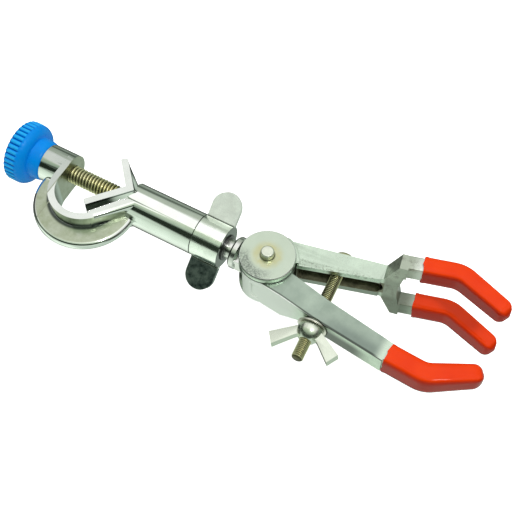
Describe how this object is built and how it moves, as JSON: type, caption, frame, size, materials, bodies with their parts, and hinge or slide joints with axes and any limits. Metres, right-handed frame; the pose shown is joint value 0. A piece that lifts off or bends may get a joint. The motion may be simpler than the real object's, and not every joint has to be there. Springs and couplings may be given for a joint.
{
  "type": "test tube holder",
  "caption": "Three-finger swivel clamp with its own boss head: grips a tube between one finger and a fork, and clamps to a retort rod.",
  "frame": {"origin": "inside corner of the V seat where the retort rod rests, on the body's axis", "axes": "+X along the body from the knob to the fingers, +Z along the retort rod and the pivot pin, +Y towards the boss head's open side"},
  "size_m": [0.222, 0.0611, 0.0384],
  "materials": {
    "chrome_casting": "polished chrome plate on a casting",
    "collar_nickel": "polished, satin wings",
    "nickel_arm": "nickel plate, satin with fine mottling",
    "bright_steel": "turned and polished",
    "dark_steel": "oiled dark steel",
    "washer_steel": "stamped, plated",
    "zinc_screw": "yellow zinc plate",
    "wing_nut_chrome": "cast and plated",
    "knob_plastic": "moulded, glossy",
    "red_vinyl": "dipped vinyl, glossy"
  },
  "bodies": {
    "boss_head": {"boss_frame": "chrome_casting", "rear_friction_washer": "dark_steel"},
    "clamp_screw": {"clamp_screw": "zinc_screw"},
    "screw_knob": {"screw_knob": "knob_plastic"},
    "wing_collar": {"wing_collar": "collar_nickel", "front_bush": "dark_steel", "front_friction_washer": "dark_steel"},
    "swivel": {"swivel_shaft": "bright_steel", "shaft_snap_ring": "dark_steel", "pivot_pin": "bright_steel", "rivet_washer": "bright_steel"},
    "two_prong_jaw": {"two_prong_arm": "nickel_arm", "upper_prong_sleeve": "red_vinyl", "lower_prong_sleeve": "red_vinyl"},
    "one_prong_jaw": {"one_prong_arm": "nickel_arm", "single_prong_sleeve": "red_vinyl"},
    "adjusting_screw": {"adjusting_screw": "zinc_screw", "head_washer": "washer_steel"},
    "nut_washer": {"nut_washer": "washer_steel"},
    "wing_nut": {"wing_nut": "wing_nut_chrome"}
  },
  "joints": [
    {"name": "screw_travel", "type": "slide", "parent": "boss_head", "child": "clamp_screw", "axis": [-1, 0, 0], "range_m": [0, 0.0245]},
    {"name": "knob_turn", "type": "hinge", "parent": "clamp_screw", "child": "screw_knob", "pos_m": [-0.05, 0, 0], "axis": [-1, 0, 0], "range_deg": [0, 5280]},
    {"name": "collar_turn", "type": "hinge", "parent": "boss_head", "child": "wing_collar", "pos_m": [0.042, 0, 0], "axis": [1, 0, 0], "range_deg": [0, 180]},
    {"name": "swivel_turn", "type": "hinge", "parent": "boss_head", "child": "swivel", "pos_m": [0.042, 0, 0], "axis": [1, 0, 0], "continuous": true},
    {"name": "two_prong_hinge", "type": "hinge", "parent": "swivel", "child": "two_prong_jaw", "pos_m": [0.0679, 0, 0], "axis": [0, 0, 1], "range_deg": [-8, 13]},
    {"name": "one_prong_hinge", "type": "hinge", "parent": "swivel", "child": "one_prong_jaw", "pos_m": [0.0679, 0, 0], "axis": [0, 0, -1], "range_deg": [-8, 13]},
    {"name": "screw_tilt", "type": "hinge", "parent": "two_prong_jaw", "child": "adjusting_screw", "pos_m": [0.09392, 0.02442, 0], "axis": [0, 0, -1], "range_deg": [-8, 13]},
    {"name": "nut_travel", "type": "slide", "parent": "adjusting_screw", "child": "nut_washer", "axis": [0.0715, -0.9974, 0], "range_m": [-0.0075, 0.0121]},
    {"name": "wing_nut_turn", "type": "hinge", "parent": "nut_washer", "child": "wing_nut", "pos_m": [0.09696, -0.01797, 0], "axis": [0.0715, -0.9974, 0], "range_deg": [-3330, 5410]}
  ],
  "couplings": [
    {"joint": "screw_travel", "follows": "knob_turn", "m_per_rad": 0.00023873},
    {"joint": "two_prong_hinge", "follows": "wing_nut_turn", "ratio": 0.0023978},
    {"joint": "one_prong_hinge", "follows": "wing_nut_turn", "ratio": 0.0023978},
    {"joint": "screw_tilt", "follows": "wing_nut_turn", "ratio": 0.0023978},
    {"joint": "nut_travel", "follows": "wing_nut_turn", "m_per_rad": 0.00012732}
  ]
}
